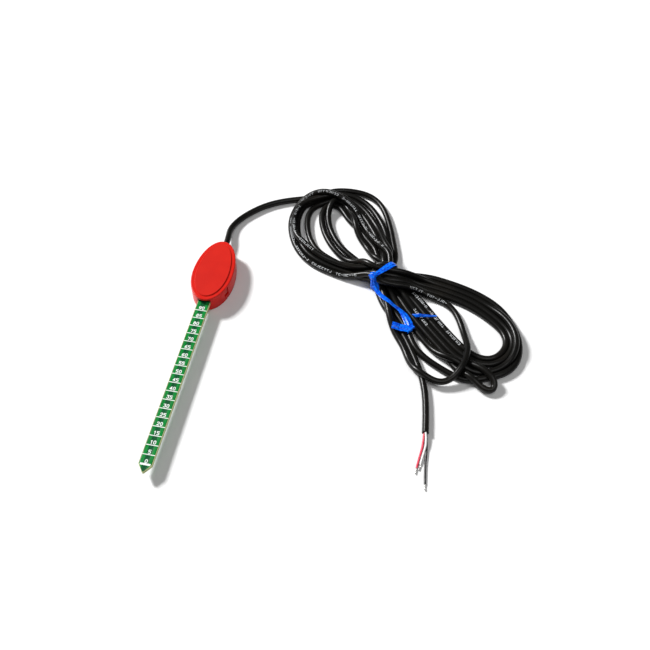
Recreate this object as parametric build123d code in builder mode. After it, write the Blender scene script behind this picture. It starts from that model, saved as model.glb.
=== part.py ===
"""Soil moisture sensor: a red potted head, a graduated probe blade and a tied hank of three-core cable.

Frame: millimetres, +Z up. The origin is the centre of the head's resting face.
The probe blade points along -Y, and the cable leaves the head along +Y and lies on the floor, Z = 0.
"""
from build123d import *
from math import atan2, cos, degrees, pi, radians, sin, tan
import os

os.makedirs("parts", exist_ok=True)

# ---------------------------------------------------------------- head: egg-shaped in plan
HEAD_HALF_WIDTH = 10.7
HEAD_REAR_REACH = 22.5  # from the widest line to the cable end
HEAD_FRONT_REACH = 18.5  # from the widest line to the probe end
HEAD_WIDEST_Y = -2.0
HEAD_REAR_Y = HEAD_WIDEST_Y + HEAD_REAR_REACH
HEAD_FRONT_Y = HEAD_WIDEST_Y - HEAD_FRONT_REACH
WALL = 1.3
TRAY_FLOOR = 1.2
TRAY_HEIGHT = 8.0
LID_RIM = 1.0  # thickness of the lid's outer ring
LID_PANEL_RISE = 0.5
LID_PANEL_INSET = 2.0
LID_PANEL_TAPER = 35  # degrees from upright, of the panel's bevel
LID_EDGE_RADIUS = 0.45
BASE_EDGE_RADIUS = 0.6
LIP_DEPTH = 0.8  # locating lip under the lid
LIP_WIDTH = 0.7
FIT_GAP = 0.1
CUT_DEPTH = 4 * WALL  # a cut that is sure to pass through a wall

# ---------------------------------------------------------------- snaps, one on each side of the head
SNAP_Y = -10.7
WINDOW_WIDTH = 3.5
WINDOW_BOTTOM = 3.0
SNAP_ARM_WIDTH = 3.1
SNAP_ARM_THICKNESS = 0.9
SNAP_ARM_BOTTOM = 3.6
SNAP_TAB_WIDTH = 2.7
SNAP_TAB_BOTTOM = 4.2
SNAP_TAB_TOP = 7.4
SNAP_TAB_RECESS = 0.35  # how far the tab's face stands behind the outer wall

# ---------------------------------------------------------------- board and probe blade
BOARD_BOTTOM = 4.6
BOARD_THICKNESS = 1.6
BOARD_TOP = BOARD_BOTTOM + BOARD_THICKNESS
MASK_THICKNESS = 0.05
COPPER_TOP = BOARD_TOP - MASK_THICKNESS
MASK_PULLBACK = 0.25
COPPER_THICKNESS = 0.05
INK_THICKNESS = 0.04
BLADE_HALF_WIDTH = 3.25
BLADE_SHOULDER_Y = -115.5
BLADE_TIP_Y = -119.5
BLADE_TIP_HALF_WIDTH = 0.3
BOARD_HALF_WIDTH = 7.0
BOARD_REAR_Y = 11.0
BOARD_WIDE_Y = -6.0  # where the full width starts
BOARD_NECK_Y = -12.5  # where the neck between blade and board starts
BOARD_NECK_HALF_WIDTH = 4.8
BOARD_CORNER = 1.5
MOUTH_GAP = 0.2
POST_RADIUS = 1.1
POST_X = 5.4
POST_YS = (-3.5, 8.5)

ELECTRODE_WIDTH = 1.5
ELECTRODE_X = 2.0  # centre line of each strip
ELECTRODE_START_Y = -17.0
ELECTRODE_END_Y = -113.5

GRADUATION = 5.0
GRADUATION_COUNT = 19  # 0 to 90
LINE_WIDTH = 0.4
ZERO_BAND_WIDTH = 1.0
DIGIT_WIDTH = 0.95
DIGIT_HEIGHT = 1.65
DIGIT_STROKE = 0.36
DIGIT_PITCH = 1.55
DIGIT_LIFT = 0.7  # gap from a line's centre to its digits' lower centre line

# ---------------------------------------------------------------- cable
CABLE_RADIUS = 1.65
CORE_RADIUS = 0.5
CORE_CIRCLE = 0.62  # distance of each core from the cable's axis
TINNED_RADIUS = 0.32
TINNED_LENGTH = 3.0
CABLE_EXIT_Z = 3.9
CORE_ANGLES = {"red": 210, "white": 90, "black": 330}  # place round the cable's axis
STUB_END_Y = 15.5
CORE_STRAIGHT = 1.0  # each core's run past the jacket's end, before it spreads
CORE_FAN = 0.7  # share of its way to its pad's side that a core has gone at the board's edge
CORE_RISE_AHEAD = 0.6  # gap to the board's edge of the place where a core is highest
CORE_RISE = 0.2
FLOOR_GAP = 0.05
CABLE_FLOOR_Z = CABLE_RADIUS + FLOOR_GAP
CORE_FLOOR_Z = 0.52
JACKET_END_Y = -72.1
CORE_OVERLAP = 0.4  # start of each core inside the jacket, whose solid is then cut out of it
CORE_START_Y = JACKET_END_Y + CORE_OVERLAP
ARC_SHARE = 0.47  # share of the shorter run that each arc may use

# Where the cable isn't wound up, each point is a corner of its route.
LEAD_ROUTE = [
    (0.0, HEAD_REAR_Y, CABLE_EXIT_Z),
    (0.0, 27.5, CABLE_EXIT_Z),
    (-1.4, 35.5, 2.4),
    (0.8, 43.3, CABLE_FLOOR_Z),
    (6.0, 50.8, CABLE_FLOOR_Z),
    (13.6, 58.4, CABLE_FLOOR_Z),
    (23.2, 64.0, CABLE_FLOOR_Z),
    (36.0, 68.4, CABLE_FLOOR_Z),
]
TAIL_ROUTE = [
    (104.3, -19.7, CABLE_FLOOR_Z),
    (109.8, -29.5, CABLE_FLOOR_Z),
    (116.0, -42.0, CABLE_FLOOR_Z),
    (119.7, -57.0, CABLE_FLOOR_Z),
    (121.1, JACKET_END_Y, CABLE_FLOOR_Z),
]
END_CORE_ROUTES = {
    "red": [
        (120.55, CORE_START_Y, 1.3),
        (120.9, -78.0, 0.6),
        (119.9, -86.0, CORE_FLOOR_Z),
        (119.54, -90.6, CORE_FLOOR_Z),
    ],
    "white": [
        (121.1, CORE_START_Y, 2.3),
        (122.4, -77.0, 1.9),
        (121.5, -84.0, 0.6),
        (120.96, -88.5, CORE_FLOOR_Z),
    ],
    "black": [
        (121.65, CORE_START_Y, 1.3),
        (122.9, -79.5, 0.6),
        (123.2, -90.0, CORE_FLOOR_Z),
        (124.3, -98.0, CORE_FLOOR_Z),
    ],
}

# ---------------------------------------------------------------- hank: a figure of eight tied at its waist
HANK_HEIGHT = 9.5
HANK_TOP_RADIUS = 2.0
WAIST = (87.5, 16.5)
WAIST_ANGLE = -40.0  # direction of the hank's long axis
WAIST_WIDTH = 16.0
NOTCH_EASE = 0.6
LEFT_LOBE = [(89.5, 43), (82.3, 66.5), (62, 79.3), (38, 72), (29.6, 52), (38, 28), (59, 14.5), (75, 11.5)]
RIGHT_LOBE = [
    (91.5, -5), (104.5, -30), (122, -45.5), (147, -43), (160.3, -24), (154, 3), (137, 17.8), (111, 22.8),
]
LEFT_EYE = [(77, 30), (69, 43.5), (60, 54), (54.5, 56), (53.5, 49.5), (59, 39.5), (68, 32)]
RIGHT_EYE = [(109, 7), (119, -5.5), (130, -16.5), (141, -21), (150, -16), (146, -4.5), (134, 4), (120, 9)]

# -------------------------------------------------------- tie: one flat strip, knotted over the waist
TIE_WIDTH = 3.2
TIE_THICKNESS = 0.4
TIE_CORNER = 1.6
KNOT_SIZE = 4.6
KNOT_HEIGHT = 2.6
KNOT_RADIUS = 0.9
KNOT_OFFSET = -6.2  # along the waist, towards the blade's side
TIE_TAIL_WIDTH = 2.8
LONG_TAIL = [
    (83.5, 11.8), (82.6, 7.5), (88.9, -0.6), (98.2, -5.8), (107.4, -14.6), (103.8, -17.4), (96.5, -17.4),
]
SHORT_TAIL = [(83.5, 11.8), (95, 3), (107.7, -5.6), (118, -5.2)]
SHORT_TAIL_WIDTH = 1.4

# ---------------------------------------------------------------- electronics on the board
CHIP_CENTRE = (0, -2.5)
CHIP_BODY = (3.9, 4.9, 1.4)
CHIP_CHAMFER = 0.2
CHIP_LEADS_A_SIDE = 4
CHIP_LEAD_PITCH = 1.27
CHIP_LEAD_WIDTH = 0.42
CHIP_LEAD_REACH = 1.05
LEAD_THICKNESS = 0.2
REGULATOR_CENTRE = (-4.2, 4.6)
REGULATOR_BODY = (1.3, 2.9, 1.1)
DIODE_CENTRE = (4.4, 4.8)
DIODE_BODY = (1.6, 2.6, 1.0)
SMALL_CHAMFER = 0.15  # of the regulator and the diode
CHIP_PART_LENGTH = 2.0  # ceramic body, end to end, with its terminals
CHIP_PART_WIDTH = 1.25
TERMINAL_LENGTH = 0.4
CAPACITOR_HEIGHT = 0.7
RESISTOR_HEIGHT = 0.55
CAPACITOR_PLACES = [(-5.2, -2.6), (5.2, -2.6), (0, 2.6), (0, 5.0)]
RESISTOR_PLACES = [(-5.2, -4.6), (5.2, -4.6), (-5.2, -0.4), (5.2, -0.4), (5.2, 1.6)]
PAD_XS = {"red": -3.4, "white": 0.0, "black": 3.4}
PAD_Y = 8.2
PAD_SIZE = (1.9, 2.6)
SOLDER_RADIUS = 0.8
POTTING_TOP = 7.1
POTTING_RECESS = 1.0  # how far the potting stands behind the mouth's outer face


def point_on_waist(along_strip, along_axis=0.0):
    """A plan point near the waist, from its distances along the tie's strip and along the hank."""
    turn = radians(WAIST_ANGLE)
    x = WAIST[0] - along_strip * sin(turn) + along_axis * cos(turn)
    y = WAIST[1] + along_strip * cos(turn) + along_axis * sin(turn)
    return (x, y)


def egg(inset=0.0, mode=Mode.ADD):
    """Face of the head's outline, drawn in by an inset: two half ellipses that meet at the widest line."""
    centre = (0, HEAD_WIDEST_Y)
    half_width = HEAD_HALF_WIDTH - inset
    with BuildLine() as outline:
        EllipticalCenterArc(centre, half_width, HEAD_REAR_REACH - inset, start_angle=0, arc_size=180)
        EllipticalCenterArc(centre, half_width, HEAD_FRONT_REACH - inset, start_angle=180, arc_size=180)
    make_face(outline.edges(), mode=mode)


def board_outline(inset=0.0):
    """Face of the board: a pointed blade, a neck and the wide part inside the head."""
    half = [
        (BLADE_TIP_HALF_WIDTH, BLADE_TIP_Y + inset),
        (BLADE_HALF_WIDTH - inset, BLADE_SHOULDER_Y + inset / 2),
        (BLADE_HALF_WIDTH - inset, BOARD_NECK_Y - BOARD_CORNER),
        (BOARD_NECK_HALF_WIDTH - inset, BOARD_NECK_Y + inset),
        (BOARD_NECK_HALF_WIDTH - inset, BOARD_WIDE_Y - BOARD_CORNER),
        (BOARD_HALF_WIDTH - inset, BOARD_WIDE_Y + inset),
        (BOARD_HALF_WIDTH - inset, BOARD_REAR_Y - BOARD_CORNER),
        (BOARD_HALF_WIDTH - BOARD_CORNER - inset, BOARD_REAR_Y - inset),
    ]
    other_half = [(-x, y) for x, y in reversed(half)]
    with BuildLine() as outline:
        Polyline(*half, *other_half, close=True)
    make_face(outline.edges())


def snap_plane(side, depth):
    """Plane on a snap's outer wall, side +1 or -1, moved inwards by a depth. Its y axis is up."""
    fall = (SNAP_Y - HEAD_WIDEST_Y) / HEAD_FRONT_REACH
    x = HEAD_HALF_WIDTH * (1 - fall**2) ** 0.5
    outward = Vector(side * x / HEAD_HALF_WIDTH**2, fall / HEAD_FRONT_REACH, 0).normalized()
    along = Vector(0, 0, 1).cross(outward)
    return Plane(origin=Vector(side * x, SNAP_Y, 0) - outward * depth, x_dir=along, z_dir=outward)


def upright_box(plane, width, bottom, top, thickness):
    """Box standing on a snap plane, between two heights, reaching inwards by its thickness."""
    with BuildSketch(plane) as face:
        with Locations((0, (bottom + top) / 2)):
            Rectangle(width, top - bottom)
    extrude(face.sketch, amount=-thickness)


def arc_radii(route):
    """Radius at each corner of a route: as large as its two runs allow."""
    points = [Vector(*point) for point in route]
    radii = []
    for before, corner, after in zip(points, points[1:], points[2:]):
        turn = (corner - before).get_angle(after - corner)
        shorter = min((corner - before).length, (after - corner).length)
        radii.append(ARC_SHARE * shorter / tan(radians(turn / 2)))
    return radii


def round_tube(route, radius):
    """Round tube along straight runs joined by tangent arcs. Gives back its path's length."""
    with BuildLine() as path:
        FilletPolyline(*route, radius=arc_radii(route))
    with BuildSketch(Plane(origin=path.line @ 0, z_dir=path.line % 0)) as section:
        Circle(radius)
    sweep(section.sketch, path=path.line)
    return path.wire().length


def finish(builder, name):
    """Name a finished piece and write it."""
    builder.part.label = name
    export_step(builder.part, "parts/" + name + ".step")


# ================================================================ housing
with BuildPart() as housing_tray:
    with BuildSketch():
        egg()
    extrude(amount=TRAY_HEIGHT)
    fillet(housing_tray.edges().group_by(Axis.Z)[0], radius=BASE_EDGE_RADIUS)
    with BuildSketch(Plane.XY.offset(TRAY_FLOOR)):
        egg(WALL)
    extrude(amount=TRAY_HEIGHT, mode=Mode.SUBTRACT)
    with BuildSketch(Plane.XY.offset(TRAY_FLOOR)):
        with Locations(*[(side * POST_X, y) for side in (-1, 1) for y in POST_YS]):
            Circle(POST_RADIUS)
    extrude(amount=BOARD_BOTTOM - TRAY_FLOOR)
    with BuildSketch(Plane.XY.offset(BOARD_BOTTOM)):
        with Locations((0, HEAD_FRONT_Y)):
            Rectangle(2 * (BLADE_HALF_WIDTH + MOUTH_GAP), CUT_DEPTH)
    extrude(amount=TRAY_HEIGHT, mode=Mode.SUBTRACT)
    with BuildSketch(Plane(origin=(0, HEAD_REAR_Y + WALL, CABLE_EXIT_Z), z_dir=(0, -1, 0))):
        Circle(CABLE_RADIUS)
    extrude(amount=CUT_DEPTH, mode=Mode.SUBTRACT)
    for side in (-1, 1):
        with BuildSketch(snap_plane(side, -WALL)):
            with Locations((0, (WINDOW_BOTTOM + TRAY_HEIGHT) / 2)):
                Rectangle(WINDOW_WIDTH, TRAY_HEIGHT - WINDOW_BOTTOM)
        extrude(amount=-CUT_DEPTH, mode=Mode.SUBTRACT)
finish(housing_tray, "housing_tray")

with BuildPart() as housing_lid:
    with BuildSketch(Plane.XY.offset(TRAY_HEIGHT)):
        egg()
    extrude(amount=LID_RIM)
    fillet(housing_lid.edges().group_by(Axis.Z)[-1], radius=LID_EDGE_RADIUS)
    with BuildSketch(Plane.XY.offset(TRAY_HEIGHT + LID_RIM)):
        egg(LID_PANEL_INSET)
    extrude(amount=LID_PANEL_RISE, taper=LID_PANEL_TAPER)
    with BuildSketch(Plane.XY.offset(TRAY_HEIGHT)):
        egg(WALL + FIT_GAP)
        egg(WALL + FIT_GAP + LIP_WIDTH, mode=Mode.SUBTRACT)
        with Locations((0, HEAD_FRONT_Y)):
            Rectangle(2 * (BLADE_HALF_WIDTH + MOUTH_GAP), 2 * CUT_DEPTH, mode=Mode.SUBTRACT)
    extrude(amount=-LIP_DEPTH)
    for side in (-1, 1):
        arm = snap_plane(side, WALL + FIT_GAP)
        upright_box(arm, SNAP_ARM_WIDTH, SNAP_ARM_BOTTOM, TRAY_HEIGHT, SNAP_ARM_THICKNESS)
        tab = snap_plane(side, SNAP_TAB_RECESS)
        tab_depth = WALL + FIT_GAP - SNAP_TAB_RECESS + SNAP_ARM_THICKNESS / 2
        upright_box(tab, SNAP_TAB_WIDTH, SNAP_TAB_BOTTOM, SNAP_TAB_TOP, tab_depth)
finish(housing_lid, "housing_lid")

# ================================================================ board
with BuildPart() as electrode_strips:
    electrode_middle_y = (ELECTRODE_START_Y + ELECTRODE_END_Y) / 2
    with BuildSketch(Plane.XY.offset(COPPER_TOP)):
        with Locations((-ELECTRODE_X, electrode_middle_y), (ELECTRODE_X, electrode_middle_y)):
            Rectangle(ELECTRODE_WIDTH, ELECTRODE_START_Y - ELECTRODE_END_Y)
    extrude(amount=-COPPER_THICKNESS)
finish(electrode_strips, "electrode_strips")

with BuildPart() as board_core:
    with BuildSketch(Plane.XY.offset(BOARD_BOTTOM + MASK_THICKNESS)):
        board_outline()
    extrude(amount=COPPER_TOP - BOARD_BOTTOM - MASK_THICKNESS)
    add(electrode_strips.part, mode=Mode.SUBTRACT)
finish(board_core, "board_core")

with BuildPart() as solder_pads:
    with BuildSketch(Plane.XY.offset(COPPER_TOP)):
        with Locations(*[(x, PAD_Y) for x in PAD_XS.values()]):
            Rectangle(*PAD_SIZE)
    extrude(amount=MASK_THICKNESS)
finish(solder_pads, "solder_pads")

with BuildPart() as solder_mask_front:
    with BuildSketch(Plane.XY.offset(COPPER_TOP)):
        board_outline(MASK_PULLBACK)
        with Locations(*[(x, PAD_Y) for x in PAD_XS.values()]):
            Rectangle(*PAD_SIZE, mode=Mode.SUBTRACT)
    extrude(amount=MASK_THICKNESS)
finish(solder_mask_front, "solder_mask_front")

with BuildPart() as solder_mask_back:
    with BuildSketch(Plane.XY.offset(BOARD_BOTTOM)):
        board_outline(MASK_PULLBACK)
    extrude(amount=MASK_THICKNESS)
finish(solder_mask_back, "solder_mask_back")

# -------------------------------------------------------- printed scale: 0 at the shoulder, 90 at the head
with BuildPart() as scale_lines:
    line_length = 2 * (BLADE_HALF_WIDTH - MASK_PULLBACK)
    with BuildSketch(Plane.XY.offset(BOARD_TOP)):
        with Locations((0, BLADE_SHOULDER_Y)):
            Rectangle(line_length - ZERO_BAND_WIDTH, ZERO_BAND_WIDTH)
        for step in range(1, GRADUATION_COUNT):
            with Locations((0, BLADE_SHOULDER_Y + GRADUATION * step)):
                Rectangle(line_length, LINE_WIDTH)
    extrude(amount=INK_THICKNESS)
finish(scale_lines, "scale_lines")

# Each digit is one stroke or two, on a grid one unit wide and one unit high.
DIGIT_STROKES = {
    "0": [[(0.3, 0), (0, 0.2), (0, 0.8), (0.3, 1), (0.7, 1), (1, 0.8), (1, 0.2), (0.7, 0), (0.3, 0)]],
    "1": [[(0.2, 0.8), (0.6, 1), (0.6, 0)]],
    "2": [[(0, 0.8), (0.3, 1), (0.7, 1), (1, 0.8), (1, 0.6), (0, 0), (1, 0)]],
    "3": [[(0, 1), (1, 1), (0.5, 0.6), (1, 0.4), (1, 0.15), (0.7, 0), (0.3, 0), (0, 0.15)]],
    "4": [[(0.75, 0), (0.75, 1), (0, 0.3), (1, 0.3)]],
    "5": [[(1, 1), (0, 1), (0, 0.55), (0.7, 0.6), (1, 0.4), (1, 0.15), (0.7, 0), (0, 0)]],
    "6": [
        [(0.9, 1), (0.3, 0.9), (0, 0.5)],
        [(0, 0.5), (0, 0.2), (0.3, 0), (0.7, 0), (1, 0.2), (1, 0.4), (0.7, 0.55), (0, 0.5)],
    ],
    "7": [[(0, 1), (1, 1), (0.4, 0)]],
    "8": [
        [(0.3, 0), (0, 0.15), (0, 0.4), (0.3, 0.55), (0.7, 0.55), (1, 0.4), (1, 0.15), (0.7, 0), (0.3, 0)],
        [(0.3, 0.55), (0.1, 0.7), (0.1, 0.85), (0.3, 1), (0.7, 1), (0.9, 0.85), (0.9, 0.7), (0.7, 0.55)],
    ],
    "9": [
        [(0.1, 0), (0.7, 0.1), (1, 0.5)],
        [(1, 0.5), (1, 0.8), (0.7, 1), (0.3, 1), (0, 0.8), (0, 0.6), (0.3, 0.45), (1, 0.5)],
    ],
}


digit_faces = {}
for digit, strokes in DIGIT_STROKES.items():
    with BuildSketch() as digit_faces[digit]:
        for stroke in strokes:
            corners = [Vector(u * DIGIT_WIDTH, v * DIGIT_HEIGHT, 0) for u, v in stroke]
            for start, end in zip(corners, corners[1:]):
                run = end - start
                with Locations((start + end) / 2):
                    SlotCenterToCenter(run.length, DIGIT_STROKE, rotation=degrees(atan2(run.Y, run.X)))

with BuildPart() as scale_numerals:
    with BuildSketch(Plane.XY.offset(BOARD_TOP)):
        for step in range(GRADUATION_COUNT):
            label = str(int(step * GRADUATION))
            baseline = BLADE_SHOULDER_Y + GRADUATION * step + DIGIT_LIFT
            start_x = -(DIGIT_WIDTH + DIGIT_PITCH * (len(label) - 1)) / 2
            for place, digit in enumerate(label):
                with Locations((start_x + place * DIGIT_PITCH, baseline)):
                    add(digit_faces[digit].sketch)
    extrude(amount=INK_THICKNESS)
finish(scale_numerals, "scale_numerals")

# ================================================================ electronics
with BuildPart() as oscillator_chip:
    with BuildSketch(Plane.XY.offset(BOARD_TOP)):
        with Locations(CHIP_CENTRE):
            Rectangle(CHIP_BODY[0], CHIP_BODY[1])
    extrude(amount=CHIP_BODY[2])
    chamfer(oscillator_chip.faces().sort_by(Axis.Z)[-1].edges(), length=CHIP_CHAMFER)
finish(oscillator_chip, "oscillator_chip")

with BuildPart() as chip_leads:
    for side in (-1, 1):
        inner = CHIP_CENTRE[0] + side * CHIP_BODY[0] / 2
        middle = inner + side * CHIP_LEAD_REACH / 2
        outer = inner + side * CHIP_LEAD_REACH
        shoulder = BOARD_TOP + CHIP_BODY[2] / 2
        foot = BOARD_TOP + LEAD_THICKNESS / 2
        for row in range(CHIP_LEADS_A_SIDE):
            y = CHIP_CENTRE[1] + (row - (CHIP_LEADS_A_SIDE - 1) / 2) * CHIP_LEAD_PITCH
            with BuildSketch(Plane(origin=(0, y, 0), x_dir=(1, 0, 0), z_dir=(0, -1, 0))):
                with BuildLine() as bend:
                    Polyline((inner, shoulder), (middle, shoulder), (middle, foot), (outer, foot))
                trace(bend.line, line_width=LEAD_THICKNESS)
            extrude(amount=CHIP_LEAD_WIDTH / 2, both=True)
finish(chip_leads, "chip_leads")

with BuildPart() as voltage_regulator:
    with BuildSketch(Plane.XY.offset(BOARD_TOP)):
        with Locations(REGULATOR_CENTRE):
            Rectangle(REGULATOR_BODY[0], REGULATOR_BODY[1])
    extrude(amount=REGULATOR_BODY[2])
    chamfer(voltage_regulator.faces().sort_by(Axis.Z)[-1].edges(), length=SMALL_CHAMFER)
finish(voltage_regulator, "voltage_regulator")

with BuildPart() as rectifier_diode:
    with BuildSketch(Plane.XY.offset(BOARD_TOP)):
        with Locations(DIODE_CENTRE):
            Rectangle(DIODE_BODY[0], DIODE_BODY[1])
    extrude(amount=DIODE_BODY[2])
    chamfer(rectifier_diode.faces().sort_by(Axis.Z)[-1].edges(), length=SMALL_CHAMFER)
finish(rectifier_diode, "rectifier_diode")

with BuildPart() as capacitors:
    with BuildSketch(Plane.XY.offset(BOARD_TOP)):
        with Locations(*CAPACITOR_PLACES):
            Rectangle(CHIP_PART_LENGTH - 2 * TERMINAL_LENGTH, CHIP_PART_WIDTH)
    extrude(amount=CAPACITOR_HEIGHT)
finish(capacitors, "capacitors")

with BuildPart() as resistors:
    with BuildSketch(Plane.XY.offset(BOARD_TOP)):
        with Locations(*RESISTOR_PLACES):
            Rectangle(CHIP_PART_LENGTH - 2 * TERMINAL_LENGTH, CHIP_PART_WIDTH)
    extrude(amount=RESISTOR_HEIGHT)
finish(resistors, "resistors")

with BuildPart() as component_terminals:
    terminal_shift = (CHIP_PART_LENGTH - TERMINAL_LENGTH) / 2
    for places, height in ((CAPACITOR_PLACES, CAPACITOR_HEIGHT), (RESISTOR_PLACES, RESISTOR_HEIGHT)):
        with BuildSketch(Plane.XY.offset(BOARD_TOP)):
            with Locations(*[(x + side * terminal_shift, y) for x, y in places for side in (-1, 1)]):
                Rectangle(TERMINAL_LENGTH, CHIP_PART_WIDTH)
        extrude(amount=height)
finish(component_terminals, "component_terminals")

# ================================================================ cable inside the head
with BuildPart() as cable_stub:
    with BuildSketch(Plane(origin=(0, STUB_END_Y, CABLE_EXIT_Z), z_dir=(0, 1, 0))):
        Circle(CABLE_RADIUS)
    extrude(amount=HEAD_REAR_Y - STUB_END_Y)
finish(cable_stub, "cable_stub")

core_top = BOARD_TOP + CORE_RADIUS
inner_cores = {}
for colour, angle in CORE_ANGLES.items():
    core_x = CORE_CIRCLE * cos(radians(angle))
    core_z = CABLE_EXIT_Z + CORE_CIRCLE * sin(radians(angle))
    core_route = [
        (core_x, STUB_END_Y, core_z),
        (core_x, STUB_END_Y - CORE_STRAIGHT, core_z),
        (CORE_FAN * PAD_XS[colour], BOARD_REAR_Y + CORE_RISE_AHEAD, core_top + CORE_RISE),
        (PAD_XS[colour], PAD_Y, core_top),
    ]
    with BuildPart() as inner_cores[colour]:
        round_tube(core_route, CORE_RADIUS)
    finish(inner_cores[colour], "inner_core_" + colour)

with BuildPart() as solder_joints:
    with Locations(*[(x, PAD_Y, BOARD_TOP) for x in PAD_XS.values()]):
        Sphere(SOLDER_RADIUS, arc_size1=0, align=(Align.CENTER, Align.CENTER, Align.MIN))
    for core in inner_cores.values():
        add(core.part, mode=Mode.SUBTRACT)
finish(solder_joints, "solder_joints")

# Dark resin fills the head below the lid, and shows in the mouth over the blade.
with BuildPart() as potting:
    with BuildSketch(Plane.XY.offset(TRAY_FLOOR)):
        egg(WALL)
    extrude(amount=POTTING_TOP - TRAY_FLOOR)
    with BuildSketch(Plane.XY.offset(BOARD_BOTTOM)):
        with Locations((0, HEAD_FRONT_Y + POTTING_RECESS + WALL)):
            Rectangle(2 * (BLADE_HALF_WIDTH + MOUTH_GAP), 2 * WALL)
    extrude(amount=POTTING_TOP - BOARD_BOTTOM)
    with BuildSketch(Plane.XY.offset(BOARD_BOTTOM)):
        board_outline()
    extrude(amount=BOARD_THICKNESS, mode=Mode.SUBTRACT)
    with BuildSketch(Plane.XY.offset(TRAY_FLOOR)):
        with Locations(*[(side * POST_X, y) for side in (-1, 1) for y in POST_YS]):
            Circle(POST_RADIUS)
    extrude(amount=BOARD_BOTTOM - TRAY_FLOOR, mode=Mode.SUBTRACT)
    for side in (-1, 1):
        with BuildSketch(snap_plane(side, -WALL)):
            with Locations((0, (WINDOW_BOTTOM + TRAY_HEIGHT) / 2)):
                Rectangle(WINDOW_WIDTH, TRAY_HEIGHT - WINDOW_BOTTOM)
        extrude(amount=-(2 * WALL + 2 * FIT_GAP + SNAP_ARM_THICKNESS), mode=Mode.SUBTRACT)
    buried = [
        oscillator_chip, chip_leads, voltage_regulator, rectifier_diode, capacitors, resistors,
        component_terminals, cable_stub, solder_joints, *inner_cores.values(),
    ]
    for piece in buried:
        add(piece.part, mode=Mode.SUBTRACT)
finish(potting, "potting")

# ================================================================ hank of cable
waist_u = Vector(cos(radians(WAIST_ANGLE)), sin(radians(WAIST_ANGLE)), 0)
waist_v = Vector(-sin(radians(WAIST_ANGLE)), cos(radians(WAIST_ANGLE)), 0)
waist_section = Plane(origin=(WAIST[0], WAIST[1], 0), x_dir=waist_v, z_dir=waist_u)
north_notch = point_on_waist(WAIST_WIDTH / 2 + NOTCH_EASE)
south_notch = point_on_waist(-WAIST_WIDTH / 2 - NOTCH_EASE)


def waist_outline(margin, mode=Mode.ADD):
    """Rounded section of the tied waist, grown by a margin at its sides and top. It stands on the tie."""
    bottom = TIE_THICKNESS - margin
    top = HANK_HEIGHT + margin
    with Locations((0, (bottom + top) / 2)):
        RectangleRounded(WAIST_WIDTH + 2 * margin, top - bottom, TIE_CORNER + margin, mode=mode)


with BuildPart() as cable_hank:
    with BuildSketch():
        with BuildLine():
            Spline(north_notch, *LEFT_LOBE, south_notch, *RIGHT_LOBE, periodic=True)
        make_face()
        for eye in (LEFT_EYE, RIGHT_EYE):
            with BuildLine():
                Spline(*eye, periodic=True)
            make_face(mode=Mode.SUBTRACT)
    extrude(amount=HANK_HEIGHT)
    fillet(cable_hank.edges().group_by(Axis.Z)[-1], radius=HANK_TOP_RADIUS)
    with BuildSketch(waist_section):
        with Locations((0, HANK_HEIGHT / 2)):
            Rectangle(3 * WAIST_WIDTH, 3 * HANK_HEIGHT)
        waist_outline(0, mode=Mode.SUBTRACT)
    extrude(amount=TIE_WIDTH / 2, both=True, mode=Mode.SUBTRACT)
finish(cable_hank, "cable_hank")

# ================================================================ cable that isn't wound up
tubes = {}
for name, route in (("cable_lead", LEAD_ROUTE), ("cable_tail", TAIL_ROUTE)):
    with BuildPart() as tubes[name]:
        path_length = round_tube(route, CABLE_RADIUS)
        swept = tubes[name].part.volume / (pi * CABLE_RADIUS**2 * path_length)
        add(cable_hank.part, mode=Mode.SUBTRACT)
    finish(tubes[name], name)
    radii = [round(radius, 1) for radius in arc_radii(route)]
    print(name, "length", round(path_length, 1), "radii", radii)
    print(name, "volume against section x length", round(swept, 4))

for colour, route in END_CORE_ROUTES.items():
    with BuildPart() as end_core:
        core_length = round_tube(route, CORE_RADIUS)
        add(tubes["cable_tail"].part, mode=Mode.SUBTRACT)
    finish(end_core, "end_core_" + colour)
    radii = [round(radius, 1) for radius in arc_radii(route)]
    print("end_core_" + colour, "length", round(core_length, 1), "radii", radii)

# The last stretch of each core is stripped, and its strands are tinned.
with BuildPart() as tinned_ends:
    for route in END_CORE_ROUTES.values():
        last_run = Vector(*route[-1]) - Vector(*route[-2])
        with BuildSketch(Plane(origin=route[-1], z_dir=last_run)):
            Circle(TINNED_RADIUS)
        extrude(amount=TINNED_LENGTH)
finish(tinned_ends, "tinned_ends")

# ================================================================ tie
with BuildPart() as cable_tie:
    with BuildSketch(waist_section):
        waist_outline(TIE_THICKNESS)
        waist_outline(0, mode=Mode.SUBTRACT)
    extrude(amount=TIE_WIDTH / 2, both=True)
    with BuildSketch(Plane.XY.offset(HANK_HEIGHT)):
        with BuildLine() as long_tail:
            Polyline(*LONG_TAIL)
        trace(long_tail.line, line_width=TIE_TAIL_WIDTH)
        with BuildLine() as short_tail:
            Polyline(*SHORT_TAIL)
        trace(short_tail.line, line_width=SHORT_TAIL_WIDTH)
    extrude(amount=TIE_THICKNESS)
    with Locations((*point_on_waist(KNOT_OFFSET), HANK_HEIGHT + KNOT_HEIGHT / 2)):
        with BuildPart(mode=Mode.PRIVATE) as knot:
            Box(KNOT_SIZE, KNOT_SIZE, KNOT_HEIGHT)
            fillet(knot.edges(), radius=KNOT_RADIUS)
        add(knot.part)
finish(cable_tie, "cable_tie")
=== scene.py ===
from math import ceil, cos, pi, radians, sin

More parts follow.
